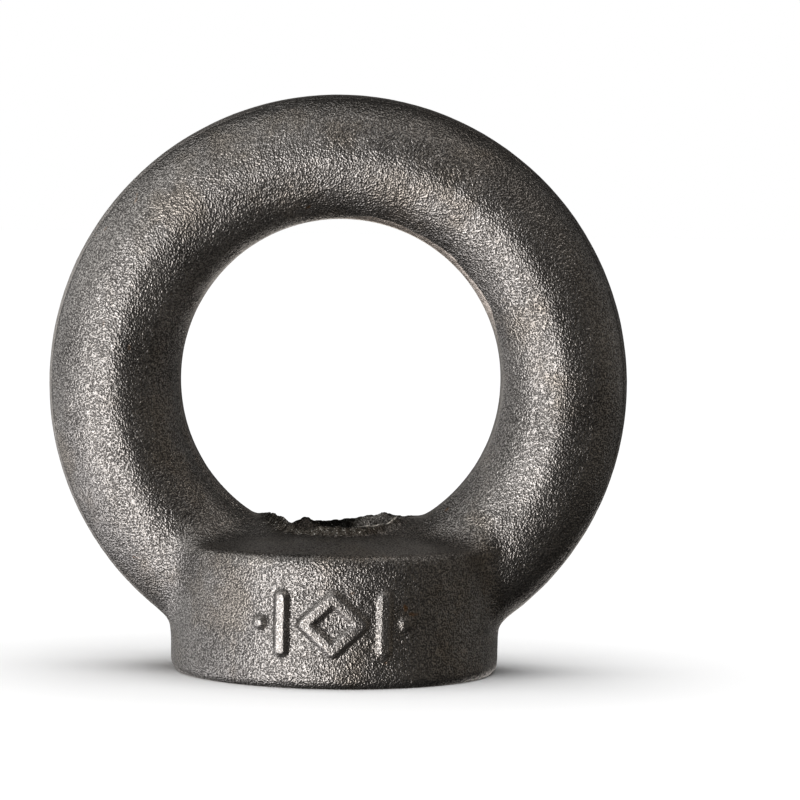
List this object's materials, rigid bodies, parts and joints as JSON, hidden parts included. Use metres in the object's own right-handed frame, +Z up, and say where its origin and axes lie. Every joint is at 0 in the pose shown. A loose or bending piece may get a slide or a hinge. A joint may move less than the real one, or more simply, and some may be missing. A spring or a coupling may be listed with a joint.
{
  "type": "lifting eye nut",
  "caption": "Forged lifting eye: a round bar ring standing on a round collar that is tapped from below.",
  "frame": {"origin": "centre of the tapped hole on the bearing face", "axes": "+Z up along the tapped hole through the eye, the ring stands in the XZ plane, -Y is the front"},
  "size_m": [0.063, 0.0358, 0.0628],
  "materials": {
    "forged_steel": "dark grey drop forged steel, shot blasted, with turned bearing face and cut thread"
  },
  "bodies": {
    "root": {"eye_nut": "forged_steel"}
  },
  "joints": []
}
